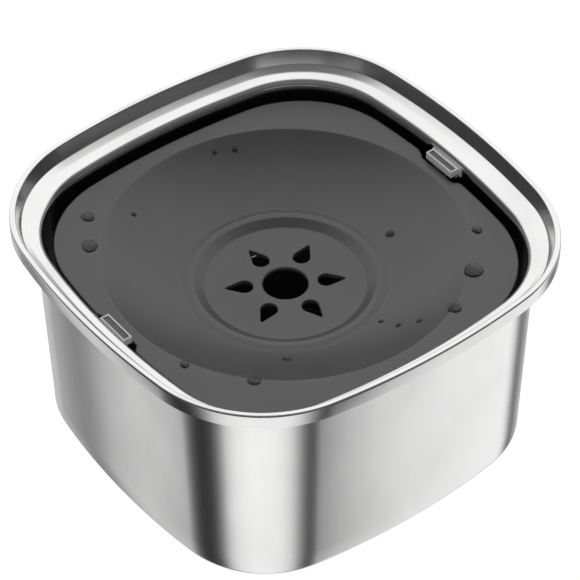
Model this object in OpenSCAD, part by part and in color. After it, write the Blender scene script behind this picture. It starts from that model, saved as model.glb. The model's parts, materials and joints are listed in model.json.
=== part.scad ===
// No-spill water bowl for a dog or a cat. A pressed steel bowl with rounded-square
// plan and a welded rim ring holds a hollow plastic plate that floats on the water.
// Water comes up only through the holes in the middle of the plate, and two sliding
// locks on the bowl's wall hold the plate down. Millimetres, +Z up, origin under the
// middle of the bowl.

/* [Steel bowl] */
// Width of the bowl across its lip, from flat side to flat side
bowl_w = 240; // [228:1:270]
// Plan radius of the corners at the lip
lip_corner_r = 68.5; // [62:0.5:76]
// Plan radius of the bowed sides at the lip
lip_side_r = 405; // [340:5:700]
// Height of the steel bowl without its feet
bowl_h = 128; // [112:1:150]
// Thickness of the sheet steel
sheet_t = 0.8; // [0.6:0.1:1.2]
// Distance from the lip in to the body wall, under the shelf
shelf_w = 11.8; // [10.6:0.2:12.4]
// How far the body wall draws in from the mouth down to the base
wall_taper = 3.8; // [1:0.2:5]
// Bend radius at the foot of the body wall, on the outside
base_bend_r = 2.6; // [2:0.1:4]
// Distance from the lip in to the panel pressed up in the base, at the middle of a side
panel_inset = 50; // [42:1:62]
// Height that this panel is pressed up
panel_rise = 1.6; // [1:0.1:2.4]

/* [Rim ring] */
// Depth of the skirt that is folded down outside the rim
skirt_h = 8; // [6:0.5:10]
// Width of the fold along the lip
fold_w = 2.9; // [2.8:0.1:3.4]
// Bend radius on both sides of this fold
fold_bend_r = 1.3; // [1:0.05:1.3]
// Depth of the collar inside the rim, from the lip to the crease over the shelf
collar_h = 7.8; // [6.5:0.1:9]
// Distance from the lip in to this crease
crease_in = 5.6; // [4.6:0.2:6.4]
// Bend radius of this crease
crease_bend_r = 1; // [0.8:0.1:1.6]
// Distance from the lip in to the apron, which turns down from the shelf's inner edge
apron_in = 15.6; // [14.8:0.1:15.8]
// Depth of the shelf's inner edge below the lip
shelf_drop = 12.4; // [11:0.2:12.8]
// Depth of the apron's free edge below the lip
apron_drop = 17; // [15:0.2:17.4]
// Bend radius between the shelf and the apron
apron_bend_r = 1.5; // [1:0.1:1.8]
// Length of the window in the apron at a lock
window_l = 27; // [26:0.5:30]

/* [Feet] */
// Diameter of a foot pad
foot_d = 20; // [14:1:24]
// Thickness of a foot pad
foot_h = 1.2; // [1:0.1:3]
// Gap between a foot pad and the panel in the base
foot_gap = 12; // [10:0.5:15]

/* [Floating plate] */
// Gap between the plate and the body wall's outer face, at the middle of a side
plate_gap = 7; // [5.4:0.2:9]
// Plan radius of the plate's corners
plate_corner_r = 56.7; // [52:0.5:62]
// Plan radius of the plate's bowed sides
plate_side_r = 397; // [340:5:700]
// Thickness of the plate and its dish
plate_t = 2.2; // [1.8:0.1:2.8]
// Depth of the plate's turned-down edge
edge_h = 5; // [3.5:0.5:6]
// Thickness of the turned-down edge
edge_t = 1.8; // [1.4:0.1:2.4]
// Rounding of the plate's upper edge
edge_round_r = 1; // [0.5:0.1:1.5]
// Depth of the plate's top below the lip when the bowl is full
plate_drop = 19.2; // [17:0.2:30]
// How far the free-floating plate has drifted off centre along X
plate_drift = 1; // [0:0.2:1.6]

/* [Dish] */
// Width of the plate's flat margin round the dish, at the middle of a side
margin_w = 8.8; // [8.4:0.2:12]
// Radius of the ball that the dish is part of
dish_ball_r = 164; // [158:1:180]
// Rounding of the edge between the plate's flat margin and the dish
dish_edge_r = 1.2; // [0.6:0.2:2]
// Diameter of the hub at the bottom of the dish
hub_d = 103.4; // [98:0.4:106]
// Height of the low ridge round the hub
hub_ridge_h = 0.7; // [0.3:0.1:1.2]
// Depth of the hub's floor below the edge of the hub
hub_floor_drop = 3.1; // [2:0.1:4]
// Width of the step from the hub's edge to its floor
hub_step_w = 12; // [10:0.5:14]
// Diameter of the middle hole
hole_d = 22.6; // [18:0.2:25]
// Number of drop-shaped holes round the middle hole
petal_count = 6; // [3:1:7]
// Width of a drop-shaped hole
petal_w = 8.6; // [7:0.2:9.4]
// Distance from the middle to the round end of a drop-shaped hole
petal_in_r = 16.4; // [15:0.2:18]
// Distance from the middle to the point of a drop-shaped hole
petal_out_r = 31; // [29:0.2:32]

/* [Float chamber] */
// Room between the hub's underside and the cover
hub_room = 2; // [1.6:0.1:5]
// Thickness of the cover under the float chamber
cover_t = 1.8; // [1.5:0.1:2.4]
// How far the cover's wall stands in from the edge of the plate
cover_inset = 5.2; // [5:0.2:7]
// Bend radius at the foot of the cover's wall
cover_bend_r = 5; // [4.5:0.5:6]
// Width of the cover's top flange under the seal
flange_w = 2.8; // [2.2:0.1:3]
// Thickness of both seals
seal_t = 1; // [0.8:0.1:1.4]
// Inner radius of the tube that brings water up to the hub
spout_r = 33.4; // [32.6:0.2:35]
// Wall of this tube
spout_t = 2; // [1.6:0.1:2.4]
// Width of the hub seal
hub_seal_w = 4; // [3:0.2:5]

/* [Screws] */
// Number of screws at each corner of the cover
corner_screws = 2; // [1:1:2]
// Gap between the screws' posts and the edge of the dish
post_gap = 2.6; // [2.2:0.1:3]
// Angle between the two screws of a corner
screw_spread = 26; // [20:1:30]
// Shank diameter of a screw
screw_d = 2.9; // [2.4:0.1:3.2]
// Length of a screw under its head
screw_l = 8; // [6:0.5:10]
// Head diameter of a screw
screw_head_d = 5.6; // [5:0.1:6]
// Head height of a screw
screw_head_h = 1.8; // [1.4:0.1:2]
// Width of the slots of the cross in the head
slot_w = 0.7; // [0.5:0.1:0.9]
// Depth of these slots
slot_depth = 0.8; // [0.6:0.1:1]
// How far the head lies inside the underside of the cover
head_sink = 0.4; // [0.2:0.1:0.6]
// Wall of the seat round the head
seat_wall = 0.8; // [0.7:0.1:1.2]
// Diameter of the post that a screw goes into
post_d = 6.8; // [6:0.1:7.2]

/* [Locks] */
// Length of a lock's frame along the wall
lock_l = 20; // [16:0.5:22]
// Depth of a lock's frame, square to the wall
lock_w = 4.9; // [4.6:0.1:5.2]
// Height of a lock's frame
lock_h = 4.1; // [3.4:0.1:5]
// Wall of the frame round the grip pad
lock_rim = 0.8; // [0.7:0.1:1.2]
// Depth of the pocket that holds the grip pad
pocket_h = 2; // [1.5:0.1:2.4]
// How far the grip pad lies below the top of its frame
pad_sink = 0.6; // [0.3:0.1:0.9]
// Width of the groove between the frame and the back flange
groove_w = 0.4; // [0.3:0.1:0.6]
// Depth of this groove
groove_h = 0.8; // [0.5:0.1:1.2]
// Length of the back flange along the wall
back_l = 23; // [22.5:0.5:25]
// Thickness of the back flange
back_t = 1.2; // [1:0.1:1.4]
// Chamfer of the back flange's upper corners
back_chamfer = 0.8; // [0.4:0.1:1.2]
// Room between an open lock and the body wall behind it
back_room = 2.1; // [1.6:0.1:3]
// Travel of a lock from open to closed
lock_travel = 3.4; // [3:0.2:3.6]
// Length of the notch in the plate's edge at a lock
notch_l = 29; // [27:0.5:34]
// Corner radius of this notch
notch_r = 3; // [2:0.2:4]
// Width of the steel tongue that a lock slides on
tongue_w = 12; // [10:0.5:14]
// Thickness of this tongue
tongue_t = 1.2; // [1:0.1:1.6]
// Depth of the tongue's top below the plate's top when the bowl is full
tongue_drop = 1; // [0.8:0.1:1.4]
// Width of the hooks that reach under the tongue
hook_w = 2; // [1.5:0.1:2.5]
// Thickness of these hooks
hook_t = 1.2; // [1:0.1:1.6]
// How far the hooks of a closed lock stand back from the end of the tongue
hook_back = 1.8; // [1.4:0.1:1.8]
// Length of the bracket's welded leg, down the wall
leg_h = 9; // [7:0.5:12]
// Thickness of the bracket's welded leg
leg_t = 0.8; // [0.6:0.1:1.1]

/* [Clearances] */
// Gap between a lock and what it slides on or past
slide_gap = 0.2; // [0.15:0.05:0.3]
// Gap between a closed lock and the plate under it
cover_gap = 0.3; // [0.3:0.1:0.6]
// Gap between an open lock and the plate's notch
open_gap = 0.4; // [0.4:0.1:0.8]
// Gap round the grip pads, and between the brackets and the wall
seat_gap = 0.05; // [0.03:0.01:0.1]
// Gap round a screw
screw_gap = 0.05; // [0.03:0.01:0.1]

/* [Hidden] */

corner_fn = 96;
side_fn = 240;
round_fn = 144;
small_fn = 48;
bend_steps = 3;
dish_steps = 14;
overlap = 2;
// Cuts start this far outside what they cut
cut = 1;
// Hooks and screw heads run into what carries them by this much
hook_lap = 0.5;
head_lap = 0.5;
// The ball face of the dish starts this far in from its edge
dish_join = 4;
// The side strips are this much thinner all round and reach this far into the corners
seam_step = 0.02;
seam_lap = 0.15;

// Heights
lip_z = foot_h + bowl_h;
crease_z = lip_z - collar_h;
shelf_in_z = lip_z - shelf_drop;
plate_z = lip_z - plate_drop;

// Places in plan
panel_d = bowl_w - 2 * panel_inset;
foot_place_r = panel_d / 2 + foot_gap + foot_d / 2;
plate_w = bowl_w - 2 * (shelf_w + plate_gap);
dish_r = plate_w / 2 - margin_w;
screw_place_r = dish_r + post_gap + post_d / 2;

// Offsets from the lip outline, and the height at which the body wall meets the shelf
shelf_slope = (crease_z - shelf_in_z) / (apron_in - crease_in);
mouth_d = -shelf_w;
mouth_z = shelf_in_z + (mouth_d - sheet_t + apron_in) * shelf_slope
          - sheet_t * sqrt(1 + pow(shelf_slope, 2)) - seat_gap;
foot_d_off = -shelf_w - wall_taper;

// Floating plate, with z = 0 at its top
hub_r = hub_d / 2;
hole_r = hole_d / 2;
ball_z = sqrt(pow(dish_ball_r, 2) - pow(dish_r, 2));
hub_z = ball_z - sqrt(pow(dish_ball_r, 2) - pow(hub_r, 2));
hub_floor_z = hub_z - hub_floor_drop;
hub_floor_r = hub_r - hub_step_w;
float_h = -hub_floor_z + plate_t + hub_room + cover_t;
cover_z = -float_h + cover_t;
seat_h = cover_t + screw_head_h + head_sink;
seat_top_z = -float_h + seat_h;
screw_z = seat_top_z - cover_t;

// Locks, at the rear wall
back_z = plate_z - tongue_drop + slide_gap;
wall_in = bowl_w / 2 + wall_offset(back_z) - sheet_t;
lock_back_y = wall_in - back_room;
groove_y = lock_back_y - back_t - groove_w;
frame_y = groove_y - lock_w;
notch_y = frame_y - open_gap - slide_gap;
lock_z = plate_z + cover_gap;
tongue_z = plate_z - tongue_t - tongue_drop;
channel_y = notch_y + open_gap + lock_travel + hook_back;

// Offset of the wall's outer face from the lip outline, at height z
function wall_offset(z) = foot_d_off + wall_taper * (z - foot_h) / (mouth_z - foot_h);

// A rounded square has a corner arc of radius rc and a side arc of radius rs, which
// meet smoothly. half_w is its half width. The corner arc's centre is (c, c).
function corner_c(half_w, rc, rs) =
    (half_w - rs + sqrt(2 * pow(rs - rc, 2) - pow(rs - half_w, 2))) / 2;
// Half of the angle that a side arc spans
function side_a(half_w, rc, rs) =
    atan2(corner_c(half_w, rc, rs), corner_c(half_w, rc, rs) + rs - half_w);
// Points of a rounded square, drawn in by inset
function outline(half_w, rc, rs, inset) =
    let (c = corner_c(half_w, rc, rs), a = side_a(half_w, rc, rs))
    [for (q = [0:3], i = [0:9])
        let (side = i < 4, t = side ? a * (i / 2 - 1) : a + (90 - 2 * a) * (i - 4) / 6,
             r = side ? rs - inset : rc - inset, x = (side ? half_w - rs : c) + r * cos(t),
             y = (side ? 0 : c) + r * sin(t))
        [x * cos(90 * q) - y * sin(90 * q), x * sin(90 * q) + y * cos(90 * q)]];

function unit(v) = v / norm(v);
// Arc of radius r that rounds the corner b between a and c
function bend(a, b, c, r) =
    let (u = unit(a - b), v = unit(c - b), half = acos(u * v) / 2,
         m = b + unit(u + v) * r / sin(half), s = b + u * r / tan(half) - m, e = b + v * r / tan(half) - m,
         a0 = atan2(s[1], s[0]), turn = atan2(e[1], e[0]) - a0,
         sweep = turn > 180 ? turn - 360 : turn < -180 ? turn + 360 : turn)
    [for (i = [0:bend_steps]) m + r * [cos(a0 + sweep * i / bend_steps), sin(a0 + sweep * i / bend_steps)]];
// Path through corners [x, y, bend radius], with its ends left sharp
function bent(p) =
    [for (i = [0:len(p) - 1])
        each (p[i][2] == 0 ? [[p[i][0], p[i][1]]]
              : bend([p[i - 1][0], p[i - 1][1]], [p[i][0], p[i][1]], [p[i + 1][0], p[i + 1][1]], p[i][2]))];
// Direction square to a path at its point i, to the left
function left_of(p, i) =
    let (a = i == 0 ? p[0] : p[i - 1], b = i == len(p) - 1 ? p[i] : p[i + 1], u = unit(b - a))
    [-u[1], u[0]];
// Closed outline of a strip of thickness t on the left of a path
function strip(p, t) =
    concat(p, [for (i = [len(p) - 1:-1:0]) p[i] + left_of(p, i) * t]);

// Moves every edge of a closed outline, drawn anticlockwise, inwards by d
function shrink(p, d) =
    [for (i = [0:len(p) - 1])
        let (u = unit(p[i] - p[(i + len(p) - 1) % len(p)]), v = unit(p[(i + 1) % len(p)] - p[i]),
             m = [-u[1], u[0]], n = [-v[1], v[0]])
        p[i] + (m + n) * d / (1 + m * n)];
function box(x0, y0, w, h) = [[x0, y0], [x0 + w, y0], [x0 + w, y0 + h], [x0, y0 + h]];

// Carries the 2D profile in children(), whose x is the offset from the outline and
// whose y is the height, round a rounded square
module carry(half_w, rc, rs) {
    c = corner_c(half_w, rc, rs);
    a = side_a(half_w, rc, rs);
    for (q = [0:3]) {
        rotate(90 * q)
            translate([c, c, 0])
                rotate(a)
                    rotate_extrude(angle = 90 - 2 * a, $fn = corner_fn)
                        translate([rc, 0])
                            let ($trim = 0)
                                children();
        rotate(90 * q)
            translate([half_w - rs, 0, 0])
                rotate(-a - seam_lap)
                    rotate_extrude(angle = 2 * (a + seam_lap), $fn = side_fn)
                        translate([rs, 0])
                            let ($trim = seam_step)
                                children();
    }
}

// Profile to be carried
module section(p) {
    polygon(shrink(p, $trim));
}

module carry_bowl() {
    carry(bowl_w / 2, lip_corner_r, lip_side_r)
        children();
}

module carry_plate() {
    carry(plate_w / 2, plate_corner_r, plate_side_r)
        children();
}

module at_float() {
    translate([plate_drift, 0, plate_z])
        children();
}

// Puts what is drawn for the rear lock at the rear (0) or the front (1)
module at_lock(side) {
    rotate(180 * side)
        children();
}

module at_screws() {
    for (q = [0:3], i = [0:corner_screws - 1])
        rotate(45 + 90 * q + screw_spread * (i - (corner_screws - 1) / 2))
            translate([screw_place_r, 0, 0])
                children();
}

// Steel bowl: base and wall, drawn from one sheet, up to the rim ring
module bowl_shell() {
    sheet = bent([[foot_d_off - base_bend_r - overlap, foot_h, 0],
                  [foot_d_off, foot_h, base_bend_r],
                  [mouth_d, mouth_z, 0]]);
    color("silver") {
        carry_bowl()
            section(strip(sheet, sheet_t));
        translate([0, 0, foot_h])
            linear_extrude(sheet_t)
                difference() {
                    polygon(outline(bowl_w / 2, lip_corner_r, lip_side_r,
                                    -foot_d_off + base_bend_r + overlap / 2));
                    circle(d = panel_d, $fn = round_fn);
                }
        rotate_extrude($fn = round_fn)
            polygon(strip(bent([[panel_d / 2 + overlap, foot_h, 0],
                                [panel_d / 2 - overlap, foot_h, 2 * sheet_t],
                                [panel_d / 2 - overlap - panel_rise, foot_h + panel_rise, 2 * sheet_t],
                                [0, foot_h + panel_rise, 0]]), -sheet_t));
    }
}

// Steel ring welded on the wall: skirt, folded lip, collar, shelf, and an apron with a
// window for each lock
module rim_ring() {
    face = bent([[0, lip_z - skirt_h, 0],
                 [0, lip_z, fold_bend_r],
                 [-fold_w, lip_z, fold_bend_r],
                 [-crease_in, crease_z, crease_bend_r],
                 [-apron_in, shelf_in_z, apron_bend_r],
                 [-apron_in, lip_z - apron_drop, 0]]);
    color("silver")
        difference() {
            carry_bowl()
                section(strip(face, sheet_t));
            for (side = [0, 1])
                at_lock(side)
                    translate([-window_l / 2, notch_y, lip_z - apron_drop - cut])
                        cube([window_l, lock_back_y + open_gap - notch_y,
                              lock_z + lock_h + open_gap - lip_z + apron_drop + cut]);
        }
}

// Soft pad glued under the base
module foot(x_side, y_side) {
    color("#3a3a3c")
        translate([x_side * foot_place_r * cos(45), y_side * foot_place_r * sin(45), 0])
            cylinder(d = foot_d, h = foot_h, $fn = small_fn);
}

// Steel bracket welded to the wall: a leg down the wall and a level tongue
module lock_bracket(side) {
    arc = 2 * asin(tongue_w / 2 / (lip_side_r + mouth_d));
    leg_low = tongue_z + tongue_t - leg_h;
    leg_top = tongue_z + tongue_t;
    color("silver")
        at_lock(side) {
            translate([0, bowl_w / 2 - lip_side_r, 0])
                rotate(90 - arc / 2)
                    rotate_extrude(angle = arc, $fn = side_fn)
                        translate([lip_side_r, 0])
                            polygon([for (s = [[leg_low, 0], [leg_top, 0], [leg_top, 1], [leg_low, 1]])
                                [wall_offset(s[0]) - sheet_t - seat_gap - s[1] * leg_t, s[0]]]);
            translate([-tongue_w / 2, notch_y + open_gap, tongue_z])
                cube([tongue_w, wall_in - leg_t / 2 - notch_y - open_gap, tongue_t]);
        }
}

module slider_frame() {
    translate([-lock_l / 2, frame_y, lock_z])
        difference() {
            cube([lock_l, lock_w + groove_w + back_t / 2, lock_h]);
            translate([lock_rim, lock_rim, lock_h - pocket_h])
                cube([lock_l - 2 * lock_rim, lock_w - 2 * lock_rim, lock_h]);
            translate([lock_rim / 2, lock_w, lock_h - groove_h])
                cube([lock_l - lock_rim, groove_w, lock_h]);
        }
}

module slider_back() {
    difference() {
        translate([-back_l / 2, lock_back_y - back_t, back_z])
            cube([back_l, back_t, lock_z + lock_h - back_z]);
        for (x = [-1, 1])
            translate([x * back_l / 2, lock_back_y, lock_z + lock_h])
                rotate([0, 45, 0])
                    cube([back_chamfer * sqrt(2), lock_w, back_chamfer * sqrt(2)], center = true);
    }
}

// Two hooks under the tongue, which hold the slider on it
module slider_hooks() {
    hook_l = tongue_w + 2 * (slide_gap + hook_w);
    hook_low = tongue_z - slide_gap - hook_t;
    difference() {
        translate([-hook_l / 2, channel_y, hook_low])
            cube([hook_l, lock_back_y - channel_y, lock_z + hook_lap - hook_low]);
        translate([-tongue_w / 2 - slide_gap, channel_y - cut, tongue_z - slide_gap])
            cube([tongue_w + 2 * slide_gap, bowl_w, tongue_t + 2 * slide_gap]);
        translate([-tongue_w / 2 + hook_w, channel_y - cut, hook_low - cut])
            cube([tongue_w - 2 * hook_w, bowl_w, hook_t + 2 * cut]);
    }
}

// Sliding lock: frame with a pocket, groove, back flange and hooks
module lock_slider(side) {
    color("#a3a3a4")
        at_lock(side) {
            slider_frame();
            slider_back();
            slider_hooks();
        }
}

// Dark grip pad in the pocket of a lock
module lock_pad(side) {
    color("#4a4a4c")
        at_lock(side)
            translate([-lock_l / 2 + lock_rim + seat_gap, frame_y + lock_rim + seat_gap,
                       lock_z + lock_h - pocket_h])
                cube([lock_l - 2 * lock_rim - 2 * seat_gap, lock_w - 2 * lock_rim - 2 * seat_gap,
                      pocket_h - pad_sink]);
}

// Drop-shaped hole: a round end and two straight sides that meet in a point
module petal() {
    r = petal_w / 2;
    c = petal_in_r + r;
    a = acos(r / (petal_out_r - c));
    translate([0, 0, -float_h])
        linear_extrude(float_h) {
            translate([c, 0])
                circle(r, $fn = small_fn);
            polygon([[petal_out_r, 0], [c + r * cos(a), r * sin(a)], [c, 0], [c + r * cos(a), -r * sin(a)]]);
        }
}

// Height of the dish's ball face at radius r
function ball_face(r) = ball_z - sqrt(pow(dish_ball_r, 2) - pow(r, 2));

// Top face of the dish and hub, from the margin in to the middle hole
function dish_path() =
    let (join_r = dish_r - dish_join, w = hub_step_w, h = hub_ridge_h)
    concat([[dish_r + overlap, 0]],
           bend([dish_r + overlap, 0], [dish_r, 0], [join_r, ball_face(join_r)], dish_edge_r),
           [for (i = [1:dish_steps])
               let (r = join_r + (hub_r - join_r) * i / dish_steps)
               [r, ball_face(r)]],
           [[hub_r - w * 0.3, hub_z + h], [hub_r - w * 0.45, hub_z + h * 0.6],
            [hub_floor_r + w * 0.12, hub_floor_z + hub_floor_drop * 0.12],
            [hub_floor_r, hub_floor_z], [hole_r, hub_floor_z]]);

// Notch that lets the plate pass a lock
module notch(side) {
    at_lock(side)
        translate([0, 0, -edge_h - cut])
            linear_extrude(edge_h + 2 * cut) {
                translate([-notch_l / 2 + notch_r, notch_y])
                    square([notch_l - 2 * notch_r, plate_w]);
                translate([-notch_l / 2, notch_y + notch_r])
                    square([notch_l, plate_w]);
                for (x = [-1, 1])
                    translate([x * (notch_l / 2 - notch_r), notch_y + notch_r])
                        circle(notch_r, $fn = small_fn);
            }
}

// Plate with its dish, hub, spout and screw posts, one moulding
module float_plate() {
    edge = bent([[0, -edge_h, 0], [0, 0, edge_round_r], [-edge_t - 2 * overlap, 0, 0]]);
    color("#525254")
        at_float()
            difference() {
                union() {
                    carry_plate()
                        section(concat([[-edge_t - 2 * overlap, -plate_t], [-edge_t, -plate_t],
                                        [-edge_t, -edge_h]], edge));
                    translate([0, 0, -plate_t])
                        linear_extrude(plate_t)
                            difference() {
                                polygon(outline(plate_w / 2, plate_corner_r, plate_side_r, edge_t + overlap));
                                circle(dish_r + overlap / 2, $fn = round_fn);
                            }
                    rotate_extrude($fn = round_fn)
                        polygon(strip(dish_path(), plate_t));
                    rotate_extrude($fn = round_fn)
                        translate([spout_r, cover_z + seal_t])
                            square([spout_t, hub_floor_z - cover_z - seal_t - plate_t / 2]);
                    at_screws()
                        translate([0, 0, seat_top_z])
                            cylinder(d = post_d, h = -seat_top_z - plate_t / 2, $fn = small_fn);
                }
                for (i = [0:petal_count - 1])
                    rotate(i * 360 / petal_count)
                        petal();
                at_screws()
                    translate([0, 0, seat_top_z - cut])
                        cylinder(d = screw_d + 2 * screw_gap, h = screw_l + cut, $fn = small_fn);
                for (side = [0, 1])
                    notch(side);
            }
}

// Cover that closes the float chamber from below
module float_cover() {
    top = -plate_t - seal_t;
    wall = bent([[-cover_inset - cover_bend_r - overlap, -float_h, 0],
                 [-cover_inset, -float_h, cover_bend_r],
                 [-cover_inset, top, 0]]);
    inside = [for (i = [len(wall) - 2:-1:0]) wall[i] + left_of(wall, i) * cover_t];
    color("#4a4a4c")
        at_float()
            difference() {
                union() {
                    carry_plate()
                        section(concat(wall, [[-cover_inset - flange_w, top],
                                              [-cover_inset - flange_w, top - cover_t],
                                              [-cover_inset - cover_t, top - cover_t]], inside));
                    translate([0, 0, -float_h])
                        linear_extrude(cover_t)
                            polygon(outline(plate_w / 2, plate_corner_r, plate_side_r,
                                            cover_inset + cover_bend_r + overlap / 2));
                    at_screws()
                        translate([0, 0, -float_h])
                            cylinder(d = post_d + 2 * seat_wall, h = seat_h, $fn = small_fn);
                }
                translate([0, 0, -float_h - cut])
                    cylinder(r = spout_r, h = float_h, $fn = round_fn);
                at_screws() {
                    translate([0, 0, -float_h - cut])
                        cylinder(d = screw_head_d + 4 * screw_gap, h = seat_h - cover_t + cut,
                                 $fn = small_fn);
                    translate([0, 0, -float_h - cut])
                        cylinder(d = screw_d + 4 * screw_gap, h = seat_h + 2 * cut, $fn = small_fn);
                }
            }
}

// Soft seal between the cover's flange and the plate
module rim_seal() {
    color("#1f1f20")
        at_float()
            carry_plate()
                section(box(-cover_inset - flange_w, -plate_t - seal_t, flange_w, seal_t));
}

// Soft seal between the spout and the cover
module hub_seal() {
    color("#1f1f20")
        at_float()
            rotate_extrude($fn = round_fn)
                translate([spout_r, cover_z])
                    square([hub_seal_w, seal_t]);
}

// Pan-head screws that hold the cover to the plate's posts
module cover_screws() {
    color("gainsboro")
        at_float()
            at_screws()
                difference() {
                    union() {
                        translate([0, 0, screw_z - screw_head_h])
                            cylinder(d = screw_head_d, h = screw_head_h, $fn = small_fn);
                        translate([0, 0, screw_z - head_lap])
                            cylinder(d = screw_d, h = screw_l, $fn = small_fn);
                    }
                    for (turn = [0, 90])
                        rotate(turn)
                            translate([0, 0, screw_z - screw_head_h])
                                cube([screw_head_d * 0.55, slot_w, 2 * slot_depth], center = true);
                }
}

bowl_shell();
rim_ring();
foot(-1, -1);  // foot_front_left
foot(1, -1);  // foot_front_right
foot(-1, 1);  // foot_rear_left
foot(1, 1);  // foot_rear_right
lock_bracket(1);  // lock_bracket_front
lock_bracket(0);  // lock_bracket_rear
lock_slider(1);  // lock_slider_front
lock_slider(0);  // lock_slider_rear
lock_pad(1);  // lock_pad_front
lock_pad(0);  // lock_pad_rear
float_plate();
float_cover();
rim_seal();
hub_seal();
cover_screws();
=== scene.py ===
"""A no-spill steel water bowl for a pet, with a plastic plate that floats on its water.

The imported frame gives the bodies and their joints. The classes here make the finer surfaces that show,
and dress them and the frame's own nodes. Lengths are millimetres until a mesh is made, in metres. The
frame has +Z up and its origin under the middle of the bowl, with the locks at the front (-Y) and the
rear (+Y).
"""
from __future__ import annotations

import json
import logging
import math
from dataclasses import dataclass, field
from enum import Enum
from typing import Any, Sequence

import bmesh
import bpy
import numpy as np
from mathutils import Matrix, Vector

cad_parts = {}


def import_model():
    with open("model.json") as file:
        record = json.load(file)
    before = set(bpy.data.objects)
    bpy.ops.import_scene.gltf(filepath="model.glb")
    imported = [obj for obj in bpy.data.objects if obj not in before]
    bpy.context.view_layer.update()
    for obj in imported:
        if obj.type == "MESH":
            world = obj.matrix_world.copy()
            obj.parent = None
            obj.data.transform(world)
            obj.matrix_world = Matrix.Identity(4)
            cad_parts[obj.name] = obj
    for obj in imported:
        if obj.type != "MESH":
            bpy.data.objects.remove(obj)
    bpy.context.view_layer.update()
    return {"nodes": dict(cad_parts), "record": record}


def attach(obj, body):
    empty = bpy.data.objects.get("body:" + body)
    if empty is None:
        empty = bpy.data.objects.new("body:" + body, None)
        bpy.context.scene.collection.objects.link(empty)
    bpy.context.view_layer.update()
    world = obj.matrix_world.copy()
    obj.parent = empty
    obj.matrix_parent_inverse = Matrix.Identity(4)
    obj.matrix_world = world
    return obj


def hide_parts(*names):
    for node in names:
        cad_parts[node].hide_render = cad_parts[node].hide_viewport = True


LOG = logging.getLogger("water_bowl")
MM = 0.001
FULL_TURN = 2 * math.pi


class Body(Enum):
    """The rigid bodies of the frame that pieces ride on."""

    BOWL = "bowl"
    FLOAT = "float"
    LOCK_FRONT = "lock_front"
    LOCK_REAR = "lock_rear"


class Slot(Enum):
    """The record's material slots."""

    STEEL = "steel"
    SCREW_STEEL = "screw_steel"
    DARK_PLASTIC = "dark_plastic"
    LIGHT_PLASTIC = "light_plastic"
    PAD_RUBBER = "pad_rubber"
    SEAL_RUBBER = "seal_rubber"


# --------------------------------------------------------------------------------------
# Shader maths
# --------------------------------------------------------------------------------------


class Value:
    """One socket that carries a number, on which Python's operators add Math nodes."""

    def __init__(self, shader: "Shader", socket: bpy.types.NodeSocket) -> None:
        """Wraps a socket of a shader's tree."""
        self.shader = shader
        self.socket = socket

    def math(self, operation: str, other: "Value | float") -> "Value":
        """Adds a Math node that takes this value and then the other, and returns its result."""
        return self.shader.math(operation, self, other)

    def __add__(self, other: "Value | float") -> "Value":
        """self + other."""
        return self.math("ADD", other)

    def __rsub__(self, other: float) -> "Value":
        """other - self."""
        return self.shader.math("SUBTRACT", other, self)

    def __mul__(self, other: "Value | float") -> "Value":
        """self * other."""
        return self.math("MULTIPLY", other)

    def __truediv__(self, other: "Value | float") -> "Value":
        """self / other."""
        return self.math("DIVIDE", other)

    def step(self, low: float, high: float) -> "Value":
        """Smooth step: 0 below low, 1 above high, and 3t^2 - 2t^3 between, where t runs from 0 to 1."""
        node = self.shader.node("ShaderNodeMapRange", {"interpolation_type": "SMOOTHSTEP"},
                                Value=self, **{"From Min": low, "From Max": high})
        return Value(self.shader, node.outputs["Result"])


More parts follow.
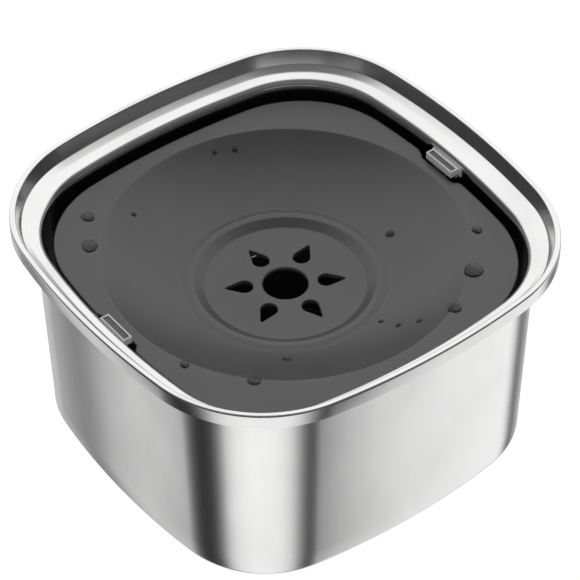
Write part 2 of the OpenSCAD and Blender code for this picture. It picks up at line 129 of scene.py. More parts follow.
class Shader:
    """Builds one node tree, of a material or of the world."""

    def __init__(self, owner: "bpy.types.Material | bpy.types.World") -> None:
        """Empties the owner's node tree."""
        owner.use_nodes = True
        self.tree = owner.node_tree
        self.tree.nodes.clear()

    def node(self, kind: str, settings: dict[str, Any] | None = None, **sockets: Any) -> bpy.types.Node:
        """Adds a node.

        Args:
            kind: The node's type, such as "ShaderNodeTexNoise".
            settings: Its properties, set before its sockets. "stops" are a ramp's (position, level) pairs.
            sockets: A value, Value or socket for each input that isn't left at its default.

        Returns:
            The node.
        """
        made = self.tree.nodes.new(kind)
        for name, setting in (settings or {}).items():
            if name == "stops":
                self._stops(made.color_ramp, setting)
            else:
                setattr(made, name, setting)
        for name, given in sockets.items():
            self.feed(made.inputs[name], given)
        return made

    @staticmethod
    def _stops(ramp: bpy.types.ColorRamp, stops: Sequence[tuple[float, float]]) -> None:
        """Sets a ramp's stops from (position, grey level) pairs."""
        while len(ramp.elements) < len(stops):
            ramp.elements.new(0.5)
        for element, (position, level) in zip(ramp.elements, stops):
            element.position = position
            element.color = (level, level, level, 1.0)

    def feed(self, socket: bpy.types.NodeSocket, given: Any) -> None:
        """Links a Value or an output to a socket, or sets the socket's own value."""
        if isinstance(given, Value):
            given = given.socket
        if isinstance(given, bpy.types.NodeSocket):
            self.tree.links.new(given, socket)
        else:
            socket.default_value = given

    def math(self, operation: str, *inputs: "Value | float") -> Value:
        """Adds a Math node with its inputs in order, and returns its result."""
        made = self.node("ShaderNodeMath", {"operation": operation})
        for socket, given in zip(made.inputs, inputs):
            self.feed(socket, given)
        return Value(self, made.outputs[0])

    def noise(self, scale: tuple[float, float, float], detail: float = 2.0, roughness: float = 0.5) -> Value:
        """Noise on Object coordinates.

        Args:
            scale: Cells per metre along X, Y and Z.
            detail: The noise's octaves.
            roughness: How much the finer octaves count.

        Returns:
            The noise, around 0.5.
        """
        place = self.node("ShaderNodeTexCoord").outputs["Object"]
        mapped = self.node("ShaderNodeMapping", Vector=place, Scale=scale).outputs["Vector"]
        noise = self.node("ShaderNodeTexNoise", Vector=mapped, Scale=1.0, Detail=detail, Roughness=roughness)
        return Value(self, noise.outputs["Fac"])

    def tint(self, mask: Value, low: Sequence[float], high: Sequence[float]) -> bpy.types.NodeSocket:
        """Mixes two colours by a mask from 0 to 1, and returns the colour."""
        mix = self.node("ShaderNodeMix", {"data_type": "RGBA"}, Factor=mask)
        mix.inputs[6].default_value = (*low, 1.0)
        mix.inputs[7].default_value = (*high, 1.0)
        return mix.outputs[2]

    def bump(self, height: Value, strength: float, depth_mm: float) -> bpy.types.NodeSocket:
        """Turns a height from 0 to 1 into a normal, for a relief depth_mm deep."""
        return self.node("ShaderNodeBump", Strength=strength, Distance=depth_mm * MM,
                         Height=height).outputs["Normal"]

    def surface(self, **sockets: Any) -> None:
        """Makes a Principled BSDF with these sockets the material's surface."""
        principled = self.node("ShaderNodeBsdfPrincipled", **sockets)
        self.node("ShaderNodeOutputMaterial", Surface=principled.outputs["BSDF"])


# --------------------------------------------------------------------------------------
# Finishes
# --------------------------------------------------------------------------------------


def new_material(name: str) -> tuple[bpy.types.Material, Shader]:
    """Makes an empty material and the shader that fills it."""
    material = bpy.data.materials.new(name)
    return material, Shader(material)


@dataclass(frozen=True)
class PressedSteel:
    """Bright sheet steel with the faint upright grain that drawing leaves.

    Attributes:
        name: The material's name.
        bright: Colour where the surface is clean.
        dull: Colour where it is slightly hazed.
        polish: Roughness of the brightest stretch.
        haze: Roughness that the grain and the haze add.
    """

    name: str = "pressed_steel"
    bright: tuple[float, float, float] = (0.80, 0.80, 0.795)
    dull: tuple[float, float, float] = (0.74, 0.74, 0.735)
    polish: float = 0.13
    haze: float = 0.10

    def material(self) -> bpy.types.Material:
        """Roughness = polish + haze * (0.6 grain + 0.4 cloud), with a bump from the grain."""
        material, shader = new_material(self.name)
        grain = shader.noise((900.0, 900.0, 14.0), detail=3.0, roughness=0.6)
        cloud = shader.noise((26.0, 26.0, 18.0), detail=2.0)
        fine = shader.noise((2600.0, 2600.0, 60.0), detail=1.0)
        shader.surface(
            **{"Base Color": shader.tint(cloud.step(0.35, 0.7), self.bright, self.dull)},
            Metallic=1.0,
            Roughness=(grain * 0.6 + cloud * 0.4) * self.haze + self.polish,
            Normal=shader.bump(grain * 0.5 + fine * 0.5, 0.10, 0.02),
        )
        return material


@dataclass(frozen=True)
class MouldedPlastic:
    """Satin moulded plastic with a fine spark-eroded texture and a slight drift in its colour.

    Attributes:
        name: The material's name.
        colour: Its base colour.
        gloss: Roughness where it is smoothest.
        texture_mm: Depth of the moulded texture.
    """

    name: str
    colour: tuple[float, float, float]
    gloss: float = 0.34
    texture_mm: float = 0.012

    def material(self) -> bpy.types.Material:
        """Colour drifts by 6 percent either way with a broad noise, roughness by 0.08 with a finer one."""
        material, shader = new_material(self.name)
        drift = shader.noise((30.0, 30.0, 30.0), detail=2.0)
        pores = shader.noise((1700.0, 1700.0, 1700.0), detail=2.0, roughness=0.6)
        rub = shader.noise((75.0, 75.0, 75.0), detail=3.0)
        darker = tuple(0.94 * c for c in self.colour)
        lighter = tuple(1.06 * c for c in self.colour)
        shader.surface(
            **{"Base Color": shader.tint(drift.step(0.3, 0.7), darker, lighter),
               "Specular IOR Level": 0.8},
            Roughness=rub * 0.08 + self.gloss,
            Normal=shader.bump(pores, 0.35, self.texture_mm),
        )
        return material


@dataclass(frozen=True)
class SiliconeRubber:
    """Matte silicone with a soft bloom.

    Attributes:
        name: The material's name.
        colour: Its base colour.
    """

    name: str
    colour: tuple[float, float, float]

    def material(self) -> bpy.types.Material:
        """Colour and roughness both follow one soft noise, the bloom."""
        material, shader = new_material(self.name)
        bloom = shader.noise((180.0, 180.0, 180.0), detail=3.0)
        pores = shader.noise((1400.0, 1400.0, 1400.0), detail=1.0)
        dusty = tuple(1.5 * c for c in self.colour)
        shader.surface(
            **{"Base Color": shader.tint(bloom.step(0.4, 0.75), self.colour, dusty)},
            Roughness=bloom * 0.15 + 0.6,
            Normal=shader.bump(pores, 0.3, 0.02),
        )
        return material


@dataclass(frozen=True)
class StillWater:
    """Clear water in small beads.

    Attributes:
        name: The material's name.
    """

    name: str = "still_water"

    def material(self) -> bpy.types.Material:
        """Clear, with a faint ripple in its normal. Its dark tint is painted shade: it darkens the plate seen
        through a bead, in place of the weaker reflection that wet plastic gives.
        """
        material, shader = new_material(self.name)
        ripple = shader.noise((500.0, 500.0, 500.0), detail=1.0)
        shader.surface(
            # Painted shade: the dark tint on the clear water darkens the beads.
            **{"Base Color": shader.tint(ripple, (0.26, 0.27, 0.27), (0.32, 0.33, 0.33)),
               "Transmission Weight": 1.0},
            IOR=1.33,
            Roughness=ripple * 0.02 + 0.01,
            Normal=shader.bump(ripple, 0.15, 0.05),
        )
        return material


@dataclass
class Finishes:
    """Every material of the bowl, made once."""

    steel: bpy.types.Material = field(init=False)
    screw_steel: bpy.types.Material = field(init=False)
    dark_plastic: bpy.types.Material = field(init=False)
    light_plastic: bpy.types.Material = field(init=False)
    pad_rubber: bpy.types.Material = field(init=False)
    seal_rubber: bpy.types.Material = field(init=False)
    water: bpy.types.Material = field(init=False)

    def __post_init__(self) -> None:
        """Makes the materials."""
        self.steel = PressedSteel().material()
        dull_steel = PressedSteel("screw_steel", (0.66, 0.66, 0.66), (0.55, 0.55, 0.55), 0.24, 0.12)
        self.screw_steel = dull_steel.material()
        self.dark_plastic = MouldedPlastic("dark_plastic", (0.032, 0.032, 0.033), 0.30).material()
        self.light_plastic = MouldedPlastic("light_plastic", (0.50, 0.50, 0.505), 0.40).material()
        self.pad_rubber = SiliconeRubber("pad_rubber", (0.05, 0.05, 0.05)).material()
        self.seal_rubber = SiliconeRubber("seal_rubber", (0.02, 0.02, 0.02)).material()
        self.water = StillWater().material()

    def of(self, slot: Slot) -> bpy.types.Material:
        """The material of one of the record's slots."""
        return getattr(self, slot.value)


# --------------------------------------------------------------------------------------
# Surfaces
# --------------------------------------------------------------------------------------


def unit(angle: np.ndarray) -> np.ndarray:
    """Rows of (cos a, sin a)."""
    return np.stack((np.cos(angle), np.sin(angle)), axis=1)


def shared_turn(count: int) -> np.ndarray:
    """Angles that share a full turn out evenly."""
    return np.arange(count) * FULL_TURN / count


def smooth(share: np.ndarray) -> np.ndarray:
    """Smooth step 3t^2 - 2t^3, where t is the share held between 0 and 1."""
    held = np.clip(share, 0, 1)
    return held**2 * (3 - 2 * held)


def ring_at(plan: np.ndarray, height: float) -> np.ndarray:
    """Lifts rows of (x, y) to one height."""
    return np.column_stack((plan, np.full(len(plan), height)))


def rounded_path(corners: Sequence[tuple[float, float, float]], steps: int) -> np.ndarray:
    """A path through corners, each rounded by an arc.

    The arc at corner b, with unit vectors u and v to its neighbours and the half angle h between them,
    has its centre at b + r / sin(h) * (u + v) / |u + v| and runs from b + u r / tan h to b + v r / tan h.

    Args:
        corners: (x, y, radius) for each corner. A radius of 0 leaves a corner sharp.
        steps: Segments of each arc.

    Returns:
        The path's points, as rows of (x, y).
    """
    points: list[np.ndarray] = []
    for i, (x, y, radius) in enumerate(corners):
        corner = np.array((x, y))
        if radius == 0:
            points.append(corner[None])
            continue
        to_last = np.array(corners[i - 1][:2]) - corner
        to_next = np.array(corners[i + 1][:2]) - corner
        u, v = to_last / np.linalg.norm(to_last), to_next / np.linalg.norm(to_next)
        half = math.acos(float(np.clip(u @ v, -1, 1))) / 2
        centre = corner + (u + v) / np.linalg.norm(u + v) * radius / math.sin(half)
        start, end = (corner + w * radius / math.tan(half) - centre for w in (u, v))
        first = math.atan2(start[1], start[0])
        sweep = (math.atan2(end[1], end[0]) - first + math.pi) % FULL_TURN - math.pi
        points.append(centre + radius * unit(first + sweep * np.linspace(0, 1, steps + 1)))
    return np.concatenate(points)


def left_offset(path: np.ndarray, distance: float) -> np.ndarray:
    """Moves an open path to its left: p + distance * (-t_y, t_x), where t is the path's unit tangent."""
    tangent = np.gradient(path, axis=0)
    tangent /= np.linalg.norm(tangent, axis=1, keepdims=True)
    return path + distance * np.stack((-tangent[:, 1], tangent[:, 0]), axis=1)


def arc(centre: tuple[float, float], radius: float, start: float, end: float, steps: int) -> np.ndarray:
    """centre + radius (cos a, sin a), with a from start to end in degrees."""
    return np.array(centre) + radius * unit(np.radians(np.linspace(start, end, steps + 1)))


@dataclass
class RoundedSquare:
    """A square with bowed sides and round corners, as the bowl and the plate have in plan.

    A side is an arc of side_r about (half_w - side_r, 0) and a corner is an arc of corner_r about
    (c, c). They meet smoothly where the angle is a, with
    c = (half_w - side_r + sqrt(2 (side_r - corner_r)^2 - (side_r - half_w)^2)) / 2 and
    tan a = c / (c + side_r - half_w). Offsets keep both centres.

    Attributes:
        half_w: Half of the width across the flat sides.
        corner_r: Radius of a corner.
        side_r: Radius of a side.
        side_places: Where a side is sampled, from -1 at its first end to below 1.
        corner_steps: Segments of a corner.
        base: The outline's points, as rows of (x, y).
        normal: The outward normal at each point.
    """

    half_w: float
    corner_r: float
    side_r: float
    side_places: np.ndarray
    corner_steps: int
    base: np.ndarray = field(init=False)
    normal: np.ndarray = field(init=False)

    def __post_init__(self) -> None:
        """Samples the outline and its outward normals, from the middle of the +X side onwards."""
        gap = self.side_r - self.half_w
        c = (-gap + math.sqrt(2 * (self.side_r - self.corner_r) ** 2 - gap**2)) / 2
        a = math.atan2(c, c + gap)
        side_angle = a * self.side_places
        corner_angle = a + (math.pi / 2 - 2 * a) * np.arange(self.corner_steps) / self.corner_steps
        angle = np.concatenate((side_angle, corner_angle))
        on_side = np.arange(angle.size) < side_angle.size
        radius = np.where(on_side, self.side_r, self.corner_r)
        centre = np.where(on_side[:, None], (-gap, 0.0), (c, c))
        normal = unit(angle)
        quarter = centre + radius[:, None] * normal
        turns = [np.array(((math.cos(t), math.sin(t)), (-math.sin(t), math.cos(t)))) for t in shared_turn(4)]
        start = int(np.argmin(np.abs(self.side_places)))
        self.base, self.normal = (np.roll(np.concatenate([part @ t for t in turns]), -start, axis=0)
                                  for part in (quarter, normal))

    @property
    def count(self) -> int:
        """Number of points round the outline."""
        return len(self.base)

    @property
    def angle(self) -> np.ndarray:
        """Angle of each point about the middle, growing from 0."""
        return np.unwrap(np.arctan2(self.base[:, 1], self.base[:, 0]))

    def rows(self, profile: np.ndarray) -> np.ndarray:
        """Carries a profile round the outline: row k is base + d_k normal at the height z_k.

        Args:
            profile: Rows of (offset, height).

        Returns:
            Points of shape (rows, columns, 3).
        """
        plan = self.base[None] + profile[:, 0, None, None] * self.normal[None]
        height = np.broadcast_to(profile[:, 1, None, None], (*plan.shape[:2], 1))
        return np.concatenate((plan, height), axis=2)


def circle_rows(profile: np.ndarray, angle: np.ndarray) -> np.ndarray:
    """Turns a profile about Z: point (k, i) is (r_k cos a_i, r_k sin a_i, z_k).

    Args:
        profile: Rows of (radius, height).
        angle: The angles, either one row or one row for each profile point.

    Returns:
        Points of shape (rows, columns, 3).
    """
    turned = np.broadcast_to(angle, (len(profile), angle.shape[-1]))
    radius, height = profile[:, 0, None], np.broadcast_to(profile[:, 1, None], turned.shape)
    return np.stack((radius * np.cos(turned), radius * np.sin(turned), height), axis=2)


def blend_rows(first: np.ndarray, last: np.ndarray, shares: Sequence[float]) -> np.ndarray:
    """Rows between two rings: (1 - w) first + w last for each share w."""
    share = np.array(shares)[:, None, None]
    return (1 - share) * first[None] + share * last[None]


class Shell:
    """Gathers grids of points and turns them into one mesh object."""

    def __init__(self) -> None:
        """Starts with nothing."""
        self.points: list[np.ndarray] = []
        self.quads: list[np.ndarray] = []
        self.triangles: list[np.ndarray] = []
        self.size = 0

    def grid(self, points: np.ndarray, close_rows: bool = False, close_columns: bool = True,
             cap_first: bool = False, cap_last: bool = False) -> "Shell":
        """Adds a grid of quads: (i, j), (i, j + 1), (i + 1, j + 1), (i + 1, j).

        Args:
            points: Points of shape (rows, columns, 3).
            close_rows: Whether the last row joins the first.
            close_columns: Whether the last column joins the first.
            cap_first: Whether a fan to its middle closes the first row.
            cap_last: The same for the last row. A known fault: after a first cap, this fan's ring starts one
                point late and ends at the first fan's middle, which leaves two stray triangles.

        Returns:
            This shell.
        """
        rows, columns = points.shape[:2]
        i, j = np.meshgrid(np.arange(rows if close_rows else rows - 1),
                           np.arange(columns if close_columns else columns - 1), indexing="ij")
        i_next, j_next = (i + 1) % rows, (j + 1) % columns
        quads = np.stack((i * columns + j, i * columns + j_next, i_next * columns + j_next,
                          i_next * columns + j), axis=-1).reshape(-1, 4)
        self.quads.append(quads + self.size)
        self.points.append(points.reshape(-1, 3))
        self.size += rows * columns
        for wanted, row, first in ((cap_first, points[0], 0), (cap_last, points[-1], (rows - 1) * columns)):
            if wanted:
                self._fan(row, self.size - rows * columns + first + np.arange(columns))
                self.size += 1
        return self

    def _fan(self, row: np.ndarray, ring: np.ndarray) -> None:
        """Adds a fan of triangles from a ring of points to their middle, which becomes a new point."""
        middle = np.full(len(ring), self.size)
        self.points.append(row.mean(axis=0)[None])
        self.triangles.append(np.stack((ring, np.roll(ring, -1), middle), axis=1))

    def build(self, name: str, material: bpy.types.Material, place: Sequence[float] = (0, 0, 0),
              crease: float = 40.0) -> bpy.types.Object:
        """Makes the object, with doubles merged, faces outwards and smooth shading below a crease angle.

        Args:
            name: The object's name.
            material: Its material.
            place: Where the shell's own origin lies, in millimetres.
            crease: Edges sharper than this many degrees stay sharp.

        Returns:
            The object, at the origin with its place in its mesh.
        """
        mesh = bpy.data.meshes.new(name)
        points = (np.concatenate(self.points) + np.array(place)) * MM
        faces = [face for group in (*self.quads, *self.triangles) for face in group.tolist()]
        mesh.from_pydata(points.tolist(), [], faces)
        return finish_mesh(mesh, name, material, crease)


def place_in_scene(name: str, data: bpy.types.ID) -> bpy.types.Object:
    """Makes an object from a mesh, a light or a camera and puts it in the scene."""
    made = bpy.data.objects.new(name, data)
    bpy.context.scene.collection.objects.link(made)
    return made


def finish_mesh(mesh: bpy.types.Mesh, name: str, material: bpy.types.Material,
                crease: float) -> bpy.types.Object:
    """Cleans a mesh and puts it in the scene.

    Args:
        mesh: The mesh, in metres.
        name: The object's name.
        material: Its material.
        crease: Edges sharper than this many degrees stay sharp.

    Returns:
        The object.
    """
    work = bmesh.new()
    work.from_mesh(mesh)
    bmesh.ops.remove_doubles(work, verts=work.verts, dist=1e-6)
    bmesh.ops.dissolve_degenerate(work, edges=work.edges, dist=1e-7)
    bmesh.ops.recalc_face_normals(work, faces=work.faces)
    work.to_mesh(mesh)
    work.free()
    mesh.shade_smooth()
    mesh.set_sharp_from_angle(angle=math.radians(crease))
    mesh.materials.clear()
    mesh.materials.append(material)
    return place_in_scene(name, mesh)


def settle(piece: bpy.types.Object, body: Body,
           replaces: Sequence[str] = ()) -> None:
    """Tells the frame which body a piece rides on and the nodes that it stands for.

    Args:
        piece: The finished piece.
        body: The body it rides on.
        replaces: Names of CAD nodes.
    """
    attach(piece, body.value)
    if replaces:
        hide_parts(*replaces)
    LOG.info("%s: %d faces, rides on %s", piece.name, len(piece.data.polygons), body.value)


# --------------------------------------------------------------------------------------
# The steel bowl
# --------------------------------------------------------------------------------------


@dataclass
class SteelBowl:
    """The bowl's base and wall, drawn from one sheet.

    Offsets are measured outwards from the lip's outline.

    Attributes:
        half_w: Half width at the lip.
        corner_r: Corner radius at the lip.
        side_r: Radius of the bowed sides at the lip.
        base_z: Height of the base's underside.
        lip_z: Height of the lip.
        sheet: Thickness of the sheet.
        mouth: Offset and height of the wall's upper end, under the rim ring.
        taper: How far the wall draws in down to the base.
        panel_r: Radius of the panel that is pressed up in the base.
        panel_rise: Height of that panel.
        foot_w: Width of the flat strip inside the wall's foot.
        foot_r: Bend radius between base and wall.
    """

    half_w: float = 120.0
    corner_r: float = 68.5
    side_r: float = 405.0
    base_z: float = 1.2
    lip_z: float = 129.2
    sheet: float = 0.8
    mouth: tuple[float, float] = (-11.8, 116.2)
    taper: float = 3.8
    panel_r: float = 70.0
    panel_rise: float = 1.6
    foot_w: float = 4.6
    foot_r: float = 2.6

    def outline(self, steps: int = 24) -> RoundedSquare:
        """The lip's outline, with this many steps in half a side."""
        return RoundedSquare(self.half_w, self.corner_r, self.side_r, np.arange(-steps, steps) / steps, 56)

    def wall_path(self) -> np.ndarray:
        """The sheet's outer face, as rows of (offset, height), from the base to the mouth."""
        foot = self.mouth[0] - self.taper
        wall = rounded_path([(foot - self.foot_w, self.base_z, 0), (foot, self.base_z, self.foot_r),
                             (*self.mouth, 0)], steps=9)
        share = np.linspace(0, 1, 12)[1:-1, None]
        return np.concatenate((wall[:-1], wall[-2] * (1 - share) + wall[-1] * share, wall[-1:]))

    def panel_path(self) -> np.ndarray:
        """The base's underside from its middle out, as rows of (radius, height)."""
        top, bend_r = self.base_z + self.panel_rise, 1.6
        middle_r, half_way, strip_w = 1.0, 30.0, 4.0
        return rounded_path([(middle_r, top, 0), (half_way, top, 0),
                             (self.panel_r - self.panel_rise, top, bend_r),
                             (self.panel_r, self.base_z, bend_r),
                             (self.panel_r + strip_w, self.base_z, 0)], steps=5)

    def build(self, finishes: Finishes) -> None:
        """Makes one closed sheet: base and wall outside, then the inner face back to the middle."""
        outline = self.outline()
        wall = self.wall_path()
        panel = self.panel_path()
        inner_wall = left_offset(wall, self.sheet)[::-1]
        inner_panel = (panel + np.array((0.0, self.sheet)))[::-1]
        under = circle_rows(panel, outline.angle)
        outer, inner = outline.rows(wall), outline.rows(inner_wall)
        over = circle_rows(inner_panel, outline.angle)
        shares = (0.25, 0.5, 0.75)
        rows = np.concatenate((under, blend_rows(under[-1], outer[0], shares), outer, inner,
                               blend_rows(inner[-1], over[0], shares), over))
        shell = Shell().grid(rows, cap_first=True, cap_last=True)
        piece = shell.build("bowl_steel", finishes.steel, crease=50)
        settle(piece, Body.BOWL, ("bowl_shell",))


@dataclass
class RimRing:
    """The ring on the bowl's mouth: skirt, folded lip, collar, hollowed shelf and apron.

    Attributes:
        bowl: The bowl that carries it.
        skirt_h: Depth of the skirt outside.
        fold_w: Width of the fold along the lip.
        fold_r: Bend radius of the fold.
        crease: Offset and height of the crease between collar and shelf.
        crease_r: Bend radius of the crease.
        hollow: Offset and height of the middle of the shelf, which sags.
        hollow_r: Bend radius of the sag.
        brink: Offset and height of the shelf's inner edge, where the apron turns down.
        brink_r: Bend radius of this edge.
        apron_z: Height of the apron's free edge.
        hem_h: Height of the last strip along the free edge.
        window: Half length of the apron's window at a lock, and the height of its top.
        window_ease: Length over which a window's ends rise, and height over which its top evens out.
    """

    bowl: SteelBowl
    skirt_h: float = 8.0
    fold_w: float = 2.9
    fold_r: float = 1.3
    crease: tuple[float, float] = (-5.6, 121.4)
    crease_r: float = 1.0
    hollow: tuple[float, float] = (-9.4, 118.9)
    hollow_r: float = 7.0
    brink: tuple[float, float] = (-15.6, 116.8)
    brink_r: float = 4.6
    apron_z: float = 112.2
    hem_h: float = 0.9
    window: tuple[float, float] = (13.5, 114.9)
    window_ease: tuple[float, float] = (1.5, 0.5)

    def profile(self) -> np.ndarray:
        """The sheet's closed section: up the skirt, in over the lip, down to the apron and back behind."""
        lip_z = self.bowl.lip_z
        face = rounded_path([
            (0.0, lip_z - self.skirt_h, 0), (0.0, lip_z, self.fold_r), (-self.fold_w, lip_z, self.fold_r),
            (*self.crease, self.crease_r), (*self.hollow, self.hollow_r), (*self.brink, self.brink_r),
            (self.brink[0], self.apron_z + self.hem_h, 0), (self.brink[0], self.apron_z, 0)], steps=8)
        return np.concatenate((face, left_offset(face, self.bowl.sheet)[::-1]))

    def cut_windows(self, rows: np.ndarray) -> np.ndarray:
        """Raises the apron's edge at the locks.

        A height z below z0, a little above the window's top, becomes z0 - (z0 - z) (1 - s). Past the
        window's ends, s falls smoothly to 0 from the share that brings the free edge up to the top. Only
        points further in than the middle of the shelf move.

        Args:
            rows: The ring's points.

        Returns:
            The points with both windows.
        """
        half, top = self.window
        ease_w, ease_h = self.window_ease
        bound = top + ease_h
        full = 1 - ease_h / (bound - self.apron_z)
        x, y, z = np.abs(rows[..., 0]), np.abs(rows[..., 1]), rows[..., 2]
        at_lock = (y > self.bowl.half_w / 2) & (y < self.bowl.half_w + self.hollow[0])
        share = np.where(at_lock, full * smooth((half + ease_w - x) / ease_w), 0)
        rows[..., 2] = np.where(z < bound, bound - (bound - z) * (1 - share), z)
        return rows

    def build(self, finishes: Finishes) -> None:
        """Makes the ring as one closed sheet."""
        rows = self.cut_windows(self.bowl.outline(steps=44).rows(self.profile()))
        piece = Shell().grid(rows, close_rows=True).build("rim_steel", finishes.steel, crease=50)
        settle(piece, Body.BOWL, ("rim_ring",))


# --------------------------------------------------------------------------------------
# The floating plate
# --------------------------------------------------------------------------------------


@dataclass
class Petal:
    """A drop-shaped hole on the +X axis: a round end of radius r about (c, 0) and a point at (tip, 0).

    The tangents from the point touch the round end at the angle acos(r / (tip - c)).

    Attributes:
        inner_r: Distance of the round end from the plate's middle.
        tip: Distance of the point, before it is rounded.
        width: Width of the round end.
        tip_round: Rounding of the point.
        eye_shift: How far the place that directions are taken from lies towards the round end.
    """

    inner_r: float = 16.4
    tip: float = 31.0
    width: float = 8.6
    tip_round: float = 0.5
    eye_shift: float = 1.2

    def curve(self) -> np.ndarray:
        """A closed curve, anticlockwise from its point."""
        r = self.width / 2
        c = self.inner_r + r
        touch = math.degrees(math.acos(r / (self.tip - c)))
        tip_c = self.tip - self.tip_round / math.cos(math.radians(touch))
        nose = arc((tip_c, 0.0), self.tip_round, 0, touch, 8)
        round_end = arc((c, 0.0), r, touch, 360 - touch, 90)
        flank = np.linspace(nose[-1], round_end[0], 26)[1:-1]
        mirror = np.array((1.0, -1.0))
        return np.concatenate((nose, flank, round_end, (flank * mirror)[::-1], (nose * mirror)[:0:-1]))

    def facing(self, targets: np.ndarray) -> np.ndarray:
        """The curve's points that lie in the directions of targets, seen from inside the hole."""
        middle = np.array(((self.inner_r + self.tip) / 2 - self.eye_shift, 0.0))
        curve = self.curve() - middle
        seen = np.arctan2(curve[:, 1], curve[:, 0])
        order = np.argsort(seen)
        want = np.arctan2(targets[:, 1], targets[:, 0] - middle[0])
        return middle + np.stack([np.interp(want, seen[order], curve[order, k], period=FULL_TURN)
                                  for k in (0, 1)], axis=1)


@dataclass
class FloatPlate:
    """The plate with its dish, hub and holes, and with the spout and the screw posts under it.

    Heights are measured from the plate's flat margin.

    Attributes:
        half_w: Half width of the plate.
        corner_r: Radius of its corners.
        side_r: Radius of its bowed sides.
        top_z: Height of the margin in the frame.
        drift: How far the free plate lies off centre along X.
        thick: Thickness of the plate.
        edge_h: Depth of the turned-down edge.
        edge_t: Thickness of the turned-down edge.
        edge_r: Rounding of its top.
        edge_soft: Width of the bevels at its lower end.
        dish_r: Radius of the dish.
        ball_r: Radius of the ball that the dish is part of.
        hub_r: Radius of the hub.
        hub_bends: Inset from the hub's edge, rise over it and bend radius of its raised rim's corners.
        floor_z: Height of the hub's floor.
        hole_r: Radius of the middle hole.
        hole_round: Rounding of its top.
        spout_r: Inner and outer radius of the spout.
        spout_drop: How far the spout reaches below the hub.
        post_r: Bore radius and outer radius of a screw post.
        post_z: Lower and upper end of a post, and a height between them where its bore has a ring of points.
        post_place: Distance of the posts from the middle, and degrees between the two of a pair.
        notch_y: How far the margin reaches at a lock.
        notch_x: Half length of a notch at its mouth, and the length over which each end eases.
        sector_r: Inner and outer radius of the ring that the drop-shaped holes lie in.
        petals: Number of drop-shaped holes.
    """

    half_w: float = 101.2
    corner_r: float = 56.7
    side_r: float = 397.0
    top_z: float = 110.0
    drift: float = 1.0
    thick: float = 2.2
    edge_h: float = 5.0
    edge_t: float = 1.5
    edge_r: float = 1.0
    edge_soft: float = 0.3
    dish_r: float = 92.4
    ball_r: float = 164.0
    hub_r: float = 51.7
    hub_bends: tuple[tuple[float, float, float], ...] = ((0.0, 0.0, 0.5), (3.0, 0.75, 2.4), (6.0, 0.35, 2.0))
    floor_z: float = -23.2
    hole_r: float = 11.3
    hole_round: float = 1.2
    spout_r: tuple[float, float] = (33.4, 35.4)
    spout_drop: float = 1.0
    post_r: tuple[float, float] = (1.5, 3.4)
    post_z: tuple[float, float, float] = (-25.2, -1.1, -19.0)
    post_place: tuple[float, float] = (98.4, 26.0)
    notch_y: float = 97.94
    notch_x: tuple[float, float] = (15.6, 3.6)
    sector_r: tuple[float, float] = (13.0, 36.0)
    petals: int = 6

    def ball(self, radius: "np.ndarray | float") -> "np.ndarray | float":
        """Height of the dish at a radius: sqrt(R^2 - dish_r^2) - sqrt(R^2 - r^2)."""
        return math.sqrt(self.ball_r**2 - self.dish_r**2) - np.sqrt(self.ball_r**2 - np.square(radius))

    def outline(self) -> RoundedSquare:
        """The plate's edge, sampled more finely where the notches are."""
        coarse = np.concatenate((np.linspace(-1, -0.30, 9), np.linspace(-0.27, -0.19, 11), (-0.13, -0.065)))
        places = np.concatenate((coarse, (0.0,), -coarse[::-1]))[:-1]
        return RoundedSquare(self.half_w, self.corner_r, self.side_r, places, 90 - len(places))

    def edge_ring(self, outline: RoundedSquare, inset: float) -> np.ndarray:
        """The edge moved inwards, with the notches.

        Near a lock the edge's y moves towards notch_y, by the smooth step of |x| over the notch's ends.

        Args:
            outline: The plate's outline.
            inset: Distance inwards.

        Returns:
            Rows of (x, y).
        """
        plan = outline.base.copy()
        mouth, ease = self.notch_x
        share = smooth((mouth - np.abs(plan[:, 0] + self.drift)) / ease)
        share = np.where(np.abs(plan[:, 1]) > self.half_w / 2, share, 0)
        plan[:, 1] += np.sign(plan[:, 1]) * share * (self.notch_y - np.abs(plan[:, 1]))
        ahead, behind = np.roll(plan, -1, axis=0), np.roll(plan, 1, axis=0)
        tangent = (ahead - behind) / np.linalg.norm(ahead - behind, axis=1, keepdims=True)
        return plan - inset * np.stack((tangent[:, 1], -tangent[:, 0]), axis=1)

    def edge_rows(self, outline: RoundedSquare) -> np.ndarray:
        """The turned edge: over its rounded top, down, and up behind to the underside."""
        low, soft, back, web = -self.edge_h, self.edge_soft, self.edge_t, -self.thick
        profile = np.concatenate((
            ((2.2, 0.0), (1.4, 0.0)), arc((self.edge_r, -self.edge_r), self.edge_r, 90, 180, 6),
            ((0.0, -2.4), (0.0, low + soft), (soft, low), (back - soft, low), (back, low + soft),
             (back, web - 0.6), (back + 0.6, web), (back + 1.4, web))))
        return np.stack([ring_at(self.edge_ring(outline, inset), height) for inset, height in profile])

    def dish_path(self) -> np.ndarray:
        """The top face from outside the dish to the hub's floor, as rows of (radius, height)."""
        lip_w, lip_r, strip_w = 3.0, 1.6, 2.5
        foot_in, foot_rise, foot_r = 11.0, 0.25, 2.4
        near_lip, near_hub, foot = self.dish_r - lip_w, self.hub_r + strip_w, self.hub_r - foot_in
        lip = rounded_path([(self.dish_r + lip_w, 0, 0), (self.dish_r, 0, lip_r),
                            (near_lip, float(self.ball(near_lip)), 0)], steps=7)
        ball_radii = np.linspace(near_lip, near_hub, 26)[1:]
        ball = np.stack((ball_radii, self.ball(ball_radii)), axis=1)
        brim = float(self.ball(self.hub_r))
        bends = [(self.hub_r - inset, brim + rise, bend) for inset, rise, bend in self.hub_bends]
        hub = rounded_path([(near_hub, float(self.ball(near_hub)), 0), *bends,
                            (foot, self.floor_z + foot_rise, foot_r),
                            (self.sector_r[1], self.floor_z, 0)], steps=5)
        return np.concatenate((lip, ball, hub[1:]))

